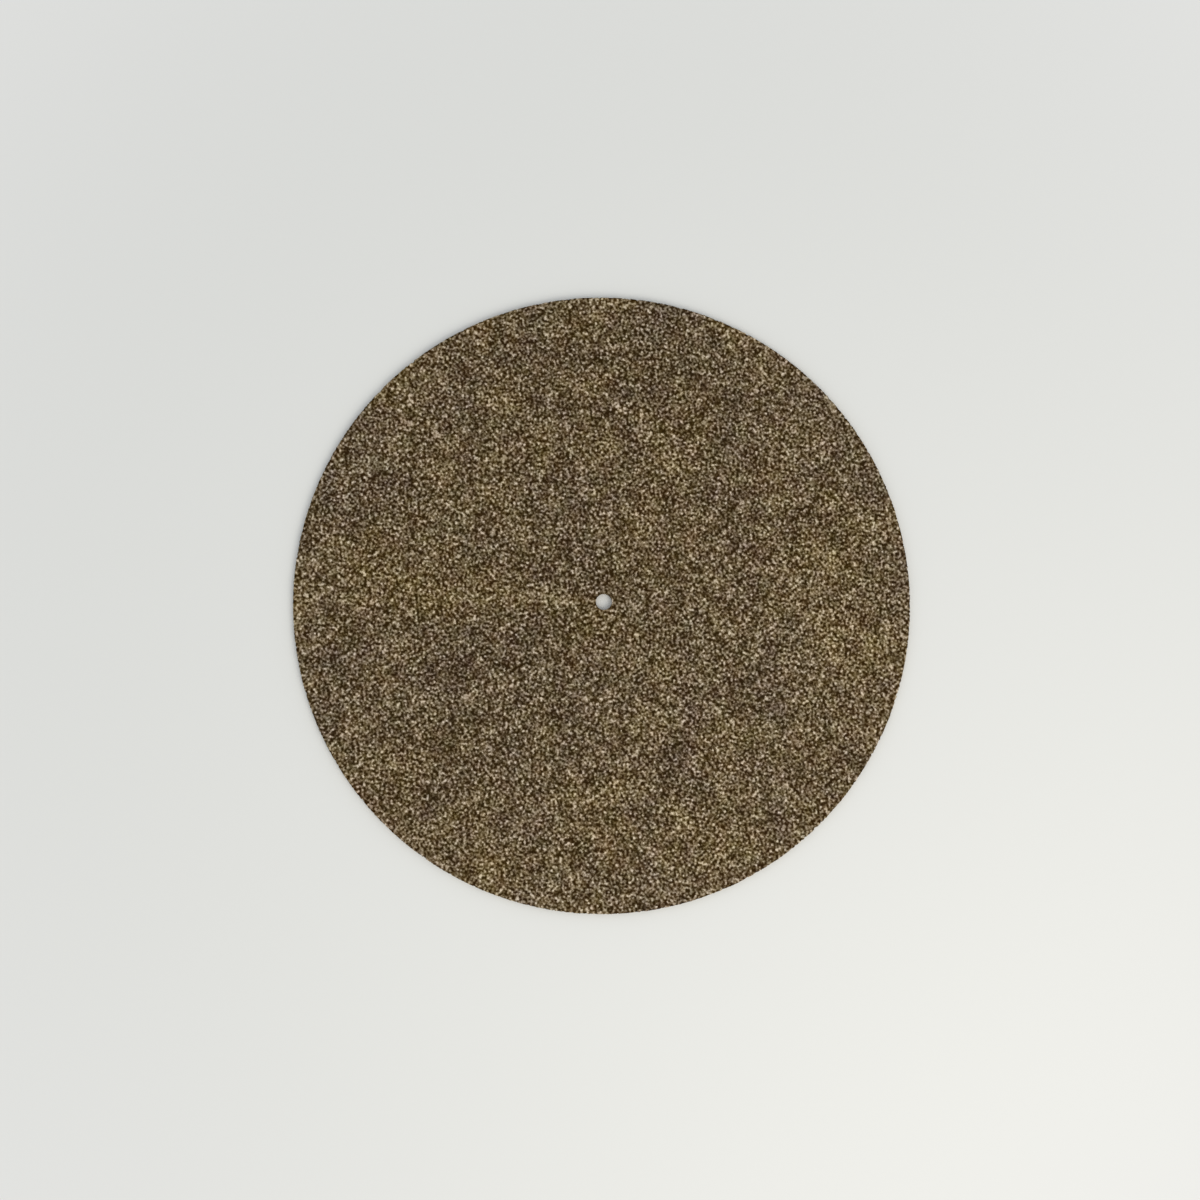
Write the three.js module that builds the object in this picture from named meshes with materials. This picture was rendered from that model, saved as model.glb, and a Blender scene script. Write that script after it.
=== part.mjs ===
// Turntable platter mat: a flat disc cut from a sheet of cork granules bound in dark rubber, with a
// small centre hole that drops over the platter's spindle.
//
// Millimetres, +Z up. The mat lies flat, as it does on a platter. The origin is the centre of the
// underside, on the spindle's axis. The upper face, which carries the record, is at z = matThickness.
//
// The disc and its hole are cut in one stroke by a steel-rule die. The soft sheet gives under the blade,
// so each cut wall has the same kind of section: a rounded edge on the upper face, where the blade goes
// in, a shallow hollow where the squeezed sheet springs back, and a crisper edge on the underside.

import * as THREE from 'three';

// Driving sizes of the mat.
const matDiameter = 295;
const matThickness = 3;
const spindleHoleDiameter = 7.5;

// Section of the wall at the rim.
const rimUpperEdgeRadius = 0.5;
const rimLowerEdgeRadius = 0.2;
const rimHollowDepth = 0.12;

// Section of the wall of the spindle hole, which a smaller and stiffer blade cuts more cleanly.
const holeUpperEdgeRadius = 0.35;
const holeLowerEdgeRadius = 0.15;
const holeHollowDepth = 0.06;

// How finely the round stretches are divided.
const largestRimFacetGap = 0.035;
const edgeSteps = 3;
const hollowSteps = 4;

// Finish: the mean colour of the tan granules and their dark binder, which is dull all over.
const granuleColour = 0x6b5d49;
const granuleRoughness = 0.9;

const rimRadius = matDiameter / 2;
const spindleHoleRadius = spindleHoleDiameter / 2;

// A rounding never takes more than this share of the sheet's thickness.
const largestEdgeShare = 0.4;

const quarterTurn = Math.PI / 2;

function edgeRadius(wanted) {
  return Math.min(wanted, matThickness * largestEdgeShare);
}

// Points along a circular arc in the plane of the section, both ends included. x is the distance from
// the axis and y is the height.
function arcPoints(centreX, centreY, radius, startAngle, sweep) {
  const points = [];
  for (let step = 0; step <= edgeSteps; step += 1) {
    const angle = startAngle + sweep * step / edgeSteps;
    points.push(new THREE.Vector2(
      centreX + radius * Math.cos(angle),
      centreY + radius * Math.sin(angle),
    ));
  }
  return points;
}

// Points of one cut wall, from the underside up to the upper face. The material lies towards the axis
// from the wall when materialSide is -1, as at the rim, and away from the axis when it is 1.
function cutWall(wallRadius, materialSide, upperRadius, lowerRadius, hollowDepth) {
  const lower = edgeRadius(lowerRadius);
  const upper = edgeRadius(upperRadius);
  const facingAngle = materialSide < 0 ? 0 : Math.PI;
  const sweep = -materialSide * quarterTurn;
  const lowerCentreX = wallRadius + materialSide * lower;
  const upperCentreX = wallRadius + materialSide * upper;
  const hollowStart = lower;
  const hollowEnd = matThickness - upper;

  const points = arcPoints(lowerCentreX, lower, lower, facingAngle - sweep, sweep);
  for (let step = 1; step < hollowSteps; step += 1) {
    const along = step / hollowSteps;
    const depth = hollowDepth * Math.sin(Math.PI * along) ** 2;
    points.push(new THREE.Vector2(
      wallRadius + materialSide * depth,
      hollowStart + (hollowEnd - hollowStart) * along,
    ));
  }
  points.push(...arcPoints(upperCentreX, hollowEnd, upper, facingAngle, sweep));
  return points;
}

// The closed outline of the section: up the rim's wall, in over the upper face, down the hole's wall and
// out again along the underside.
function matSection() {
  const rimWall = cutWall(
    rimRadius, -1, rimUpperEdgeRadius, rimLowerEdgeRadius, rimHollowDepth,
  );
  const holeWall = cutWall(
    spindleHoleRadius, 1, holeUpperEdgeRadius, holeLowerEdgeRadius, holeHollowDepth,
  );
  return [...rimWall, ...holeWall.reverse(), rimWall[0].clone()];
}

// The number of facets round the disc keeps every chord within the allowed gap of the true rim. It is a
// multiple of four, so that the disc reaches its full diameter along both X and Y.
function facetsAround() {
  const halfAngle = Math.acos(1 - largestRimFacetGap / rimRadius);
  return 4 * Math.ceil(Math.PI / halfAngle / 4);
}

function makeMat() {
  const geometry = new THREE.LatheGeometry(matSection(), facetsAround());
  geometry.rotateX(quarterTurn);
  const material = new THREE.MeshStandardMaterial({
    color: granuleColour,
    roughness: granuleRoughness,
    metalness: 0,
  });
  const mat = new THREE.Mesh(geometry, material);
  mat.name = 'platter_mat';
  return mat;
}

const turntableMat = new THREE.Group();
turntableMat.add(makeMat());

export default turntableMat;
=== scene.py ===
# Looks of a turntable platter mat: a flat disc of cork granules bound in dark rubber.
#
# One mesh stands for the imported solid. It has the same section, with a granular relief on both faces and
# the ragged cut that a die leaves at the rim and at the spindle hole. Metres, +Z up, and +Y towards the
# top of the photograph.

import math

import bpy
import numpy as np
from mathutils import Matrix, Vector, noise


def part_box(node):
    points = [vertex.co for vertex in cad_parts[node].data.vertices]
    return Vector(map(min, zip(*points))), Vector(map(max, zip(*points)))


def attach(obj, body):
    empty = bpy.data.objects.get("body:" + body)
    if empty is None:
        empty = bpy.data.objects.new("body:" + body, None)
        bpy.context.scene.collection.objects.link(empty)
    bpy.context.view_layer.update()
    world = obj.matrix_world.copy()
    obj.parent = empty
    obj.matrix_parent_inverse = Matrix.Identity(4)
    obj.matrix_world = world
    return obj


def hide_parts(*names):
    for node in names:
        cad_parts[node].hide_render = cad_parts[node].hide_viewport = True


MM = 0.001

# The photograph's frame, in its own pixels: where the spindle hole lies and how large the rim is.
IMAGE_SIDE = 1200
HOLE_AT = (603.9, 601.8)
RIM_RADIUS_PX = 309.2

# The camera looks almost straight down. In the photograph the hole lies a little off the middle of the
# rim, which gives the camera's small lean and the side it leans to.
CAMERA_DISTANCE = 0.59
CAMERA_LEAN = math.radians(3.5)
CAMERA_AZIMUTH = math.radians(-30.3)
CAMERA_CLIP = (0.01, 100)

# The two cut walls: the rounding where the die goes in, the crisper edge where it comes out, and the
# hollow between them. Then the distance between mesh points, the depth of the gaps between granules, and
# the depth of the tears. The small hole is punched cleaner than the rim.
RIM_CUT = {
    "upper": 0.5 * MM, "lower": 0.2 * MM, "hollow": 0.12 * MM,
    "step": 0.42 * MM, "gap": 0.22 * MM, "tear": 0.5 * MM,
}
HOLE_CUT = {
    "upper": 0.35 * MM, "lower": 0.15 * MM, "hollow": 0.06 * MM,
    "step": 0.24 * MM, "gap": 0.12 * MM, "tear": 0.16 * MM,
}
UPPER_EDGE_PARTS = 3
LOWER_EDGE_PARTS = 2

# Distances between mesh points in the middle of each face, how fast they grow from the walls, and the
# share of that distance by which points are moved off their rings.
UPPER_FACE_STEP = 1.25 * MM
LOWER_FACE_STEP = 3.2 * MM
STEP_GROWTH = 1.3
LOOSENESS = 0.25
LOOSE_SEED = 5

# Relief of the mesh, all of it cut into the solid. A granule is one cell of a pattern, and the gap round
# it takes up this share of a cell. Some cells of a taller pattern are torn out of the walls: their share,
# their size, and how far from a wall its gaps and tears can be felt on the faces.
GRANULE = 1.25 * MM
GAP_SHARE = 0.5
FACE_RELIEF = 0.05 * MM
TEAR_SIZE = Vector((1.5, 1.5, 6.0)) * MM
TEAR_SHARE = 0.5
CUT_REACH = 1.1 * MM
CELL_NUMBER_SCALE = 9.7

# The map for baking. Triangles below this height belong to the underside. The hole's wall takes up this
# share of its height, and the margin round the rim, in thicknesses, leaves room for the rim's wall.
UNDERSIDE_REACH = 0.25 * MM
HOLE_RING_SHARE = 0.5
MAP_MARGIN = 2.2

# Sizes of the material's pattern, in millimetres: over what length and how far granule outlines bend, a
# granule, the dark line round it, the chains that granules of like tone lie in, the soft patches over
# the sheet, its slow drift of colour, the cork's own grain, and the loop that the height is wound round.
BEND_SIZE = 0.6
BEND_REACH = 0.6
GRANULE_SIZE = 0.97
OUTLINE_WIDTH = 0.12
CHAIN_SIZE = 1.24
PATCH_SIZE = 9.0
TINGE_SIZE = 36.0
GRAIN_SIZE = 0.28
LOOP_RADIUS = 0.6
PATTERN_TURN = (0.61, 0.37, 0.93)

# Tones of the granules, from binder to the palest cork: position on the ramp and lightness from 0 to 255.
TONES = ((0.0, 30), (0.25, 62), (0.5, 104), (0.75, 150), (1.0, 200))
MEAN_TONE = 0.447
# How much each part of the pattern moves the tone.
CHAIN_TONE = 1.42
GRANULE_CHAIN_TONE = 0.47
GRANULE_TONE = 0.26
OUTLINE_TONE = 0.23
PATCH_TONE = 0.26
TINGE_TONE = 0.25

# What the channels add to the grey tone, and the drift to either side, in the levels of a picture from 0
# to 1. Then how much a granule's own number and the grain add, and the curve from levels to light.
CHANNEL_GAIN = (1, 1, 1.028)
CHANNEL_STEP = Vector((13.8, -2.3, -29.1)) / 255
TO_YELLOW = Vector((17.6, 5.2, -41)) / 255
TO_GREEN = Vector((-6.5, 6.5, -6.5)) / 255
GRANULE_TINGE = 0.05
GRAIN_LEVEL = 0.26
LEVEL_SCALE = 1.055
LEVEL_OFFSET = 0.055
LEVEL_GAMMA = 2.4

# Bump, as its depth and what each part of the pattern adds to it, and the sheen of the surface: its
# roughness from one tone to another.
BUMP_DEPTH = 0.1 * MM
BUMP_STRENGTH = 0.5
GRANULE_BUMP = 0.4
OUTLINE_BUMP = 0.6
GRAIN_BUMP = 0.6
ROUGHNESS_TONES = (0.2, 0.8)
ROUGHNESS = (0.75, 0.92)
CORK_GLOSS = 0.04

# The stage: a floor and a backdrop of one pale colour, a sky that is slightly cool, and two warm lamps.
# The floor runs into the backdrop between two distances from the mat's middle.
FLOOR_RADIUS = 6.0
FLOOR_SIDES = 96
FLOOR_ROUGHNESS = 0.8
FLOOR_GLOSS = 0.2
FADE_START = 0.2
FADE_END = 0.65
PALE = (0.8, 0.8, 0.79, 1)
SKY_COLOUR = (0.94, 0.98, 1.0, 1)
SKY_STRENGTH = 0.66
WARM = (1.0, 0.94, 0.82)
SOFTBOX = {"place": (0.42, -0.58, 0.68), "size": 0.6, "energy": 3.2}
WIDE_LAMP = {"place": (0.5, -0.6, 1.2), "angle": math.radians(50), "energy": 0.45}

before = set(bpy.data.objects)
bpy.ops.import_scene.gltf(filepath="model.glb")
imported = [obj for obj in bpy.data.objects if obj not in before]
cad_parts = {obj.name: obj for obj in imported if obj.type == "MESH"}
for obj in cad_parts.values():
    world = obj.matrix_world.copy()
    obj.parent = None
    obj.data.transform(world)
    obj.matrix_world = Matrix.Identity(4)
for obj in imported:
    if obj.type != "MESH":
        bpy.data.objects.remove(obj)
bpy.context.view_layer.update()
node_low, node_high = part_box("platter_mat")
THICKNESS = node_high[2] - node_low[2]
RIM_RADIUS = (node_high[0] - node_low[0]) / 2
HOLE_RADIUS = min(v.co.xy.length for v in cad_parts["platter_mat"].data.vertices)


def quarter(count):
    """Angles that divide a quarter turn, both ends included."""
    return [math.pi / 2 * step / count for step in range(count + 1)]


def cut_wall(radius, side, cut):
    """Points (r, z) of a cut wall from the underside up. side is -1 where the material is inside it."""
    lower, upper, top = cut["lower"], cut["upper"], THICKNESS - cut["upper"]
    points = [
        (lower * (1 - math.sin(a)), lower * (1 - math.cos(a))) for a in quarter(LOWER_EDGE_PARTS)
    ]
    steps = round((top - lower) / cut["step"])
    for step in range(1, steps):
        share = step / steps
        depth = cut["hollow"] * math.sin(math.pi * share) ** 2
        points.append((depth, lower + (top - lower) * share))
    points += [
        (upper * (1 - math.cos(a)), top + upper * math.sin(a)) for a in quarter(UPPER_EDGE_PARTS)
    ]
    return [(radius + side * inset, height) for inset, height in points]


def growing(cut, last):
    """Steps away from a cut wall, from its own up to the last one."""
    steps = [cut["step"]]
    while steps[-1] * STEP_GROWTH < last:
        steps.append(steps[-1] * STEP_GROWTH)
    return steps


def face_radii(inner, outer, middle_step):
    """Radii across a face, without its two ends, closer together towards the cut walls."""
    near, far = growing(HOLE_CUT, middle_step), growing(RIM_CUT, middle_step)
    middle = outer - inner - sum(near) - sum(far)
    count = round(middle / middle_step)
    steps = near + [middle / count] * count + far[::-1]
    return [inner + reach for reach in np.cumsum(steps)[:-1]]


def section():
    """The mat's rings (r, z) in order round its section: underside, rim, upper face and hole."""
    rim = cut_wall(RIM_RADIUS, -1, RIM_CUT)
    hole = cut_wall(HOLE_RADIUS, 1, HOLE_CUT)
    under = face_radii(hole[0][0], rim[0][0], LOWER_FACE_STEP)
    over = face_radii(hole[-1][0], rim[-1][0], UPPER_FACE_STEP)
    rings = [(r, 0.0) for r in under] + rim + [(r, THICKNESS) for r in over[::-1]] + hole[::-1]
    return np.array(rings)


def ring_points(rings):
    """The distance between points on each ring, and how many it has."""
    ahead, behind = np.roll(rings, -1, 0), np.roll(rings, 1, 0)
    step = (np.linalg.norm(ahead - rings, axis=1) + np.linalg.norm(rings - behind, axis=1)) / 2
    around = 2 * math.pi * rings[:, 0] / step
    # The rings near a cut wall all have as many points, so that the points line up across it.
    for radius, cut in ((HOLE_RADIUS, HOLE_CUT), (RIM_RADIUS, RIM_CUT)):
        near = np.abs(rings[:, 0] - radius) < CUT_REACH
        around[near] = 2 * math.pi * radius / cut["step"]
        step[near] = cut["step"]
    return step, np.round(around).astype(int)


def facing_up(rings):
    """How far the surface faces up at each ring, from -1 to 1."""
    along = np.roll(rings, -1, 0) - np.roll(rings, 1, 0)
    return -along[:, 0] / np.linalg.norm(along, axis=1)


def stitch(first, count, other, other_count):
    """Triangles between two rings that may differ in their number of points."""
    near, far = np.arange(count), np.arange(other_count)
    met_by_near = ((near + 1) * other_count - 1) // count
    met_by_far = (far + 1) * count // other_count
    forward = (first + near, first + (near + 1) % count, other + met_by_near % other_count)
    backward = (first + met_by_far % count, other + (far + 1) % other_count, other + far)
    return np.concatenate([np.stack(forward, 1), np.stack(backward, 1)])


def inside_cell(place):
    """How far a place is from the border of its cell, from 0 to 1, and the cell's own random number."""
    reach, centres = noise.voronoi(place)
    number = noise.cell(centres[0] * CELL_NUMBER_SCALE) / 2 + 0.5
    return min((reach[1] - reach[0]) / GAP_SHARE, 1), number


def gap(place):
    """0 on a granule, 1 in the gap between two."""
    return 1 - inside_cell(Vector(place) / GRANULE)[0]


def tear(place):
    """0 on the clean cut, up to 1 where the die tore a granule out."""
    inside, number = inside_cell(Vector(c / s for c, s in zip(place, TEAR_SIZE)))
    return inside * max(1 - number / TEAR_SHARE, 0)


def points_at(r, turn, z):
    return np.stack([r * np.cos(turn), r * np.sin(turn), z], -1)


def wall_cuts(r, turn, z, on_wall):
    """How far each point near a cut wall goes straight in from it. It is as far at every distance from
    the wall, and on_wall lets it fade, so that the mesh never folds over itself."""
    cuts = np.zeros(len(r))
    outer = r > RIM_RADIUS / 2
    walls = ((-1, outer, RIM_RADIUS, RIM_CUT), (1, ~outer, HOLE_RADIUS, HOLE_CUT))
    for side, wall, radius, cut in walls:
        for here in np.flatnonzero(wall & (on_wall > 0)):
            place = points_at(radius, turn[here], z[here])
            cuts[here] = side * (cut["gap"] * gap(place) + cut["tear"] * tear(place))
    return cuts * on_wall


def add_baking_map(mesh, r, turn, z):
    """The two faces share one disc of the map. The rim's wall is a ring round it, and the hole's inside."""
    corner = np.empty(len(mesh.loops), np.int32)
    mesh.loops.foreach_get("vertex_index", corner)
    r, turn, z = r[corner], turn[corner], z[corner]
    under = np.repeat((z < UNDERSIDE_REACH).reshape(-1, 3).all(1), 3)
    below = np.where(under, 0, np.clip(THICKNESS - z, 0, None))
    reach = r + np.where(r > RIM_RADIUS / 2, below, -HOLE_RING_SHARE * below)
    reach = reach / (2 * RIM_RADIUS + MAP_MARGIN * THICKNESS)
    spread = np.stack([0.5 + reach * np.cos(turn), 0.5 + reach * np.sin(turn)], 1)
    mesh.uv_layers.new(name="OFBake").uv.foreach_set("vector", spread.astype(np.float32).ravel())


def mat_mesh():
    """The closed mesh of the mat, from rings of points round its section."""
    rings = section()
    step, counts = ring_points(rings)
    starts = np.concatenate([[0], np.cumsum(counts)[:-1]])
    ring_of = np.repeat(np.arange(len(rings)), counts)
    turn = (np.arange(len(ring_of)) - starts[ring_of]) * 2 * math.pi / counts[ring_of]
    r, z = rings[ring_of].T
    to_wall = np.minimum(r - HOLE_RADIUS, RIM_RADIUS - r)
    on_wall = np.clip(1 - to_wall / CUT_REACH, 0, 1)

    # Points on the faces are moved off their rings, so that no pattern of rings shows.
    rng = np.random.default_rng(LOOSE_SEED)
    loose = LOOSENESS * step[ring_of] * (1 - on_wall)
    r = r + loose * rng.uniform(-1, 1, len(r))
    turn = turn + loose * rng.uniform(-1, 1, len(r)) / r

    # The gaps between granules are pressed into the faces, and cut into the walls together with the tears.
    cuts = wall_cuts(r, turn, z, on_wall)
    gaps = np.array([gap(place) for place in points_at(r, turn, z)])
    z = z - facing_up(rings)[ring_of] * FACE_RELIEF * gaps
    r = r + cuts

    following = np.roll(np.arange(len(rings)), -1)
    faces = [
        stitch(starts[here], counts[here], starts[there], counts[there])
        for here, there in enumerate(following)
    ]
    mesh = bpy.data.meshes.new("platter_mat_granular")
    mesh.from_pydata(points_at(r, turn, z).tolist(), [], np.concatenate(faces).tolist())
    mesh.polygons.foreach_set("use_smooth", np.ones(len(mesh.polygons), bool))
    add_baking_map(mesh, r, turn, z)
    return mesh


class Nodes:
    """Short forms for adding shader nodes to a material."""

    def __init__(self, material):
        material.use_nodes = True
        self.tree = material.node_tree
        self.tree.nodes.clear()

    def add(self, kind, inputs=None, **settings):
        node = self.tree.nodes.new(kind)
        for name, value in settings.items():
            setattr(node, name, value)
        for name, value in (inputs or {}).items():
            socket = node.inputs[name]
            if isinstance(value, bpy.types.NodeSocket):
                self.tree.links.new(value, socket)
            else:
                socket.default_value = value
        return node

    def math(self, operation, first, second=0.0, third=0.0):
        inputs = {0: first, 1: second, 2: third}
        return self.add("ShaderNodeMath", inputs, operation=operation).outputs[0]

    def vector_math(self, operation, first, second=(0, 0, 0), third=(0, 0, 0)):
        inputs = {0: first, 1: second, 2: third}
        return self.add("ShaderNodeVectorMath", inputs, operation=operation).outputs[0]

    def scaled(self, vector, factor):
        inputs = {0: vector, "Scale": factor}
        return self.add("ShaderNodeVectorMath", inputs, operation="SCALE").outputs[0]

    def off(self, value, middle=0.5):
        """How far value is off its middle."""
        return self.math("SUBTRACT", value, middle)

    def ease(self, value, low, high, to_low=0.0, to_high=1.0):
        """value taken smoothly from low..high to to_low..to_high."""
        inputs = {"Value": value, 1: low, 2: high, 3: to_low, 4: to_high}
        return self.add("ShaderNodeMapRange", inputs, interpolation_type="SMOOTHSTEP").outputs[0]

    def channels(self, colour):
        return self.add("ShaderNodeSeparateColor", {0: colour}).outputs

    def cells(self, place, size, feature="F1"):
        inputs = {"Vector": place, "Scale": 1 / size}
        return self.add("ShaderNodeTexVoronoi", inputs, voronoi_dimensions="3D", feature=feature)

    def clouds(self, place, size, detail=0.0, rough=0.5):
        inputs = {"Vector": place, "Scale": 1 / size, "Detail": detail, "Roughness": rough}
        return self.add("ShaderNodeTexNoise", inputs, noise_dimensions="3D").outputs


def pattern_place(n):
    """Where a point lies in the pattern, in millimetres. The height is wound round a small loop that
    starts and ends on the plane of the faces, so that both faces have the same pattern and can share one
    baked picture."""
    place = n.scaled(n.add("ShaderNodeTexCoord").outputs["Object"], 1 / MM)
    height = n.add("ShaderNodeSeparateXYZ", {0: place}).outputs["Z"]
    turn = n.math("MULTIPLY", height, 2 * math.pi * MM / THICKNESS)
    out = n.math("MULTIPLY", n.math("SUBTRACT", 1, n.math("COSINE", turn)), LOOP_RADIUS)
    up = n.math("MULTIPLY", n.math("SINE", turn), LOOP_RADIUS)
    across = n.vector_math("MULTIPLY", place, (1, 1, 0))
    place = n.vector_math("ADD", across, n.scaled(n.vector_math("NORMALIZE", across), out))
    place = n.vector_math("ADD", place, n.add("ShaderNodeCombineXYZ", {"Z": up}).outputs[0])
    # Turned, so that the rows of the noise's own lattice don't show on the flat faces.
    return n.add("ShaderNodeMapping", {"Vector": place, "Rotation": PATTERN_TURN}).outputs[0]


def grey_of(n, tone):
    """The lightness of a tone, as a grey."""
    ramp = n.add("ShaderNodeValToRGB", {"Fac": tone})
    elements = ramp.color_ramp.elements
    while len(elements) < len(TONES):
        elements.new(0.5)
    for element, (position, lightness) in zip(elements, TONES):
        element.position = position
        element.color = (lightness / 255,) * 3 + (1,)
    return ramp.outputs["Color"]


def light_of(n, levels):
    """A picture's levels turned into linear light."""
    scale, offset = (1 / LEVEL_SCALE,) * 3, (LEVEL_OFFSET / LEVEL_SCALE,) * 3
    levels = n.vector_math("MULTIPLY_ADD", levels, scale, offset)
    levels = n.vector_math("MAXIMUM", levels)
    return n.add("ShaderNodeGamma", {"Color": levels, "Gamma": LEVEL_GAMMA}).outputs[0]


def cork_rubber():
    """Cork granules of several tans, pressed together in a dark rubber binder."""
    material = bpy.data.materials.new("cork_rubber_granules")
    n = Nodes(material)

    # Granule outlines are bent a little, so that they aren't straight-sided.
    place = pattern_place(n)
    bend = n.vector_math("SUBTRACT", n.clouds(place, BEND_SIZE, 1.0)["Color"], (0.5, 0.5, 0.5))
    bent = n.vector_math("ADD", place, n.scaled(bend, BEND_REACH))

    granule = n.cells(bent, GRANULE_SIZE).outputs
    kind = n.channels(granule["Color"])
    to_edge = n.cells(bent, GRANULE_SIZE, "DISTANCE_TO_EDGE").outputs["Distance"]
    inside = n.ease(to_edge, 0.0, OUTLINE_WIDTH)

    # Pale granules lie in short chains among darker ones, and over larger patches the sheet is paler or
    # darker. The finest grain is the cork's own.
    chain = n.clouds(bent, CHAIN_SIZE)["Fac"]
    chain_of_granule = n.clouds(granule["Position"], CHAIN_SIZE)["Fac"]
    patch = n.channels(n.clouds(place, PATCH_SIZE, 2.0)["Color"])
    tinge = n.clouds(place, TINGE_SIZE, 4.0, 0.85)["Fac"]
    grain = n.off(n.clouds(bent, GRAIN_SIZE, 4.0, 0.75)["Fac"])
    tone = MEAN_TONE
    for part, weight in (
        (n.off(chain), CHAIN_TONE),
        (n.off(chain_of_granule), GRANULE_CHAIN_TONE),
        (n.off(kind["Red"]), GRANULE_TONE),
        (n.off(inside, 1.0), OUTLINE_TONE),
        (n.off(patch["Red"]), PATCH_TONE),
        (n.off(tinge), TINGE_TONE),
    ):
        tone = n.math("MULTIPLY_ADD", part, weight, tone)

    # The sheet's colour drifts between golden and grey, and over small patches a little between green
    # and red. Single granules differ as well. The channels are put together as a picture holds them, and
    # only then turned into linear light, so that the drift is as strong on pale granules as on dark ones.
    yellow = n.math("MULTIPLY_ADD", n.off(kind["Green"]), GRANULE_TINGE, n.off(tinge))
    green = n.off(patch["Green"])
    step = n.vector_math("ADD", n.scaled(TO_YELLOW, yellow), n.scaled(TO_GREEN, green))
    step = n.vector_math("ADD", step, CHANNEL_STEP)
    step = n.vector_math("ADD", step, n.math("MULTIPLY", grain, GRAIN_LEVEL))
    levels = n.vector_math("MULTIPLY_ADD", grey_of(n, tone), CHANNEL_GAIN, step)

    height = n.math("MULTIPLY_ADD", kind["Red"], GRANULE_BUMP, n.math("MULTIPLY", inside, OUTLINE_BUMP))
    height = n.math("MULTIPLY_ADD", grain, GRAIN_BUMP, height)
    bump = n.add(
        "ShaderNodeBump", {"Height": height, "Strength": BUMP_STRENGTH, "Distance": BUMP_DEPTH}
    )
    shader = n.add(
        "ShaderNodeBsdfPrincipled",
        {
            "Base Color": light_of(n, levels),
            "Roughness": n.ease(tone, *ROUGHNESS_TONES, *ROUGHNESS),
            "Specular IOR Level": CORK_GLOSS,
            "Normal": bump.outputs["Normal"],
        },
    )
    n.add("ShaderNodeOutputMaterial", {"Surface": shader.outputs[0]})
    return material


def seen(n):
    """1 for what the camera sees, by itself or through gloss and glass, and 0 for light on the mat."""
    rays = n.add("ShaderNodeLightPath").outputs
    mirrored = n.math("MAXIMUM", rays["Is Glossy Ray"], rays["Is Transmission Ray"])
    return n.math("MAXIMUM", rays["Is Camera Ray"], mirrored)


def floor_paper():
    """Pale paper that keeps the mat's shadow, and runs into the backdrop further out."""
    material = bpy.data.materials.new("floor_paper")
    n = Nodes(material)
    paper = n.add(
        "ShaderNodeBsdfPrincipled",
        {"Base Color": PALE, "Roughness": FLOOR_ROUGHNESS, "Specular IOR Level": FLOOR_GLOSS},
    )
    backdrop = n.add("ShaderNodeEmission", {"Color": PALE, "Strength": 1.0})
    place = n.add("ShaderNodeTexCoord").outputs["Object"]
    away = n.add("ShaderNodeVectorMath", {0: place}, operation="LENGTH").outputs["Value"]
    share = n.math("MULTIPLY", n.ease(away, FADE_START, FADE_END), seen(n))
    mixed = n.add("ShaderNodeMixShader", {0: share, 1: paper.outputs[0], 2: backdrop.outputs[0]})
    n.add("ShaderNodeOutputMaterial", {"Surface": mixed.outputs[0]})
    return material


def link(name, data):
    thing = bpy.data.objects.new(name, data)
    bpy.context.scene.collection.objects.link(thing)
    return thing


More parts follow.
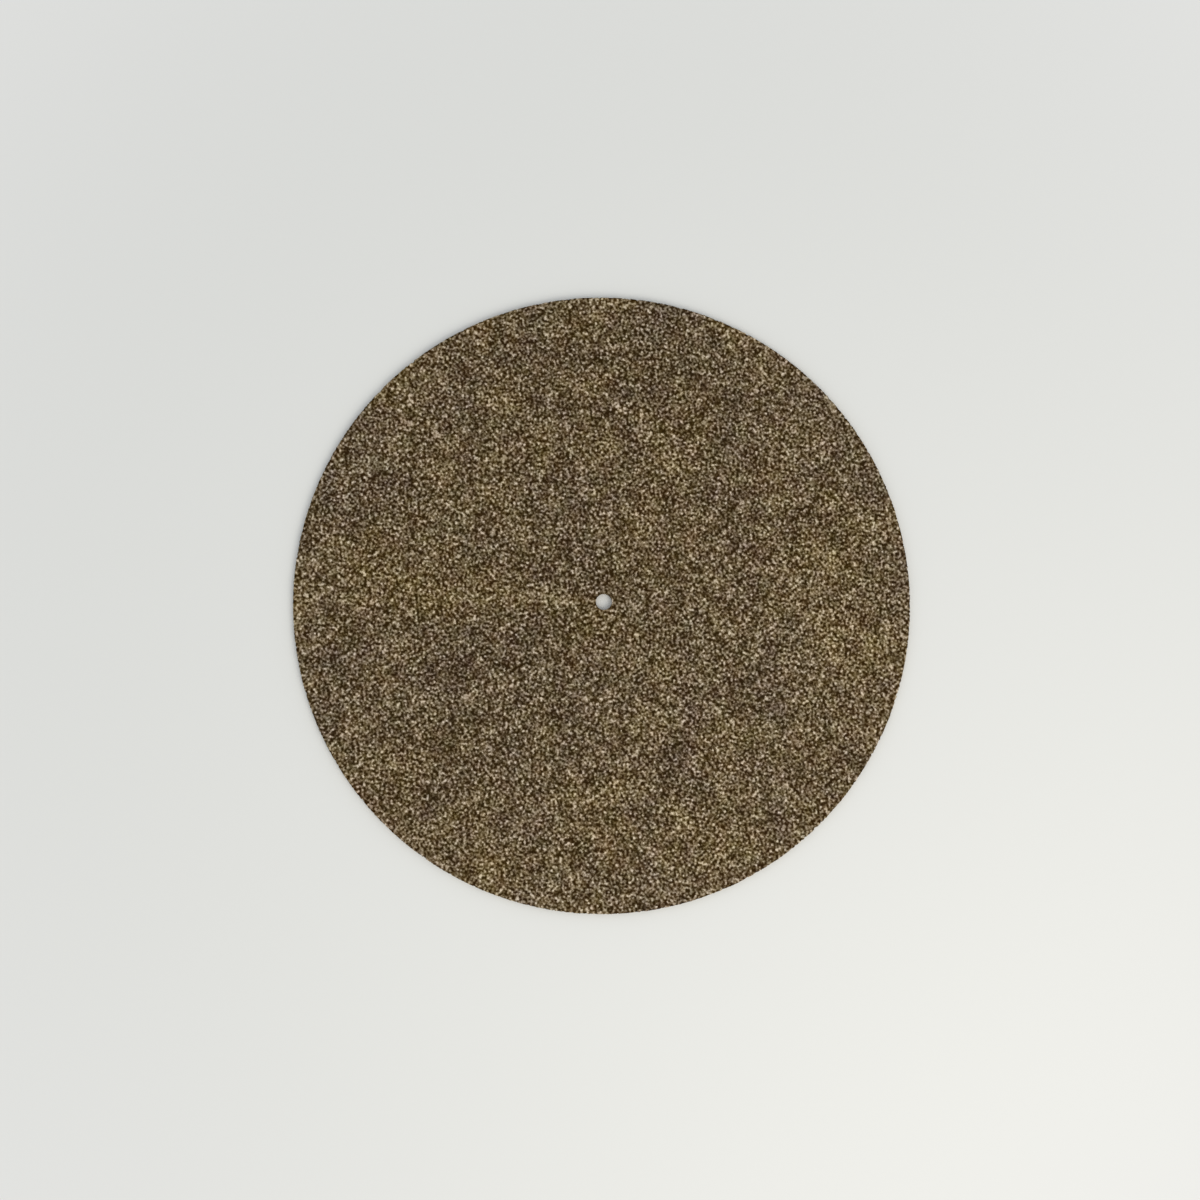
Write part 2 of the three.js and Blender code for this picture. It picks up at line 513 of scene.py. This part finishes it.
def make_camera():
    """Looks down on the mat so that the rim and the hole lie where the photograph has them."""
    per_pixel = RIM_RADIUS / RIM_RADIUS_PX
    middle = IMAGE_SIDE / 2
    aim = Vector(((middle - HOLE_AT[0]) * per_pixel, (HOLE_AT[1] - middle) * per_pixel, THICKNESS))
    back = Vector((
        math.sin(CAMERA_AZIMUTH) * math.sin(CAMERA_LEAN),
        -math.cos(CAMERA_AZIMUTH) * math.sin(CAMERA_LEAN),
        math.cos(CAMERA_LEAN),
    ))
    right = Vector((0, 1, 0)).cross(back).normalized()
    turn = Matrix((right, back.cross(right), back)).transposed()
    data = bpy.data.cameras.new("camera")
    data.angle = 2 * math.atan(middle * per_pixel / CAMERA_DISTANCE)
    data.clip_start, data.clip_end = CAMERA_CLIP
    camera = link("camera", data)
    camera.matrix_world = Matrix.Translation(aim + back * CAMERA_DISTANCE) @ turn.to_4x4()
    bpy.context.scene.camera = camera


def lamp(kind, name, place, **settings):
    """A warm lamp at a place, facing the mat."""
    data = bpy.data.lights.new(name, kind)
    data.color = WARM
    for setting, value in settings.items():
        setattr(data, setting, value)
    facing = Vector(place).to_track_quat("Z", "Y").to_matrix().to_4x4()
    link(name, data).matrix_world = Matrix.Translation(place) @ facing


def make_stage():
    """A plain pale floor under a soft, even sky, with a softbox and a weaker, wider lamp beyond it."""
    turns = [2 * math.pi * side / FLOOR_SIDES for side in range(FLOOR_SIDES)]
    mesh = bpy.data.meshes.new("floor")
    ring = [(FLOOR_RADIUS * math.cos(turn), FLOOR_RADIUS * math.sin(turn), 0) for turn in turns]
    mesh.from_pydata(ring, [], [list(range(FLOOR_SIDES))])
    mesh.materials.append(floor_paper())
    link("floor", mesh)

    world = bpy.data.worlds.new("studio")
    bpy.context.scene.world = world
    n = Nodes(world)
    sky = n.add("ShaderNodeBackground", {"Color": SKY_COLOUR, "Strength": SKY_STRENGTH})
    backdrop = n.add("ShaderNodeBackground", {"Color": PALE, "Strength": 1.0})
    mixed = n.add("ShaderNodeMixShader", {0: seen(n), 1: sky.outputs[0], 2: backdrop.outputs[0]})
    n.add("ShaderNodeOutputWorld", {"Surface": mixed.outputs[0]})

    lamp("AREA", "softbox", **SOFTBOX)
    lamp("SUN", "wide_lamp", **WIDE_LAMP)


bpy.context.scene.view_settings.view_transform = "Standard"
make_camera()
make_stage()
mat = link("platter_mat_granular", mat_mesh())
mat.data.materials.append(cork_rubber())
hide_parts("platter_mat")
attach(mat, "root")
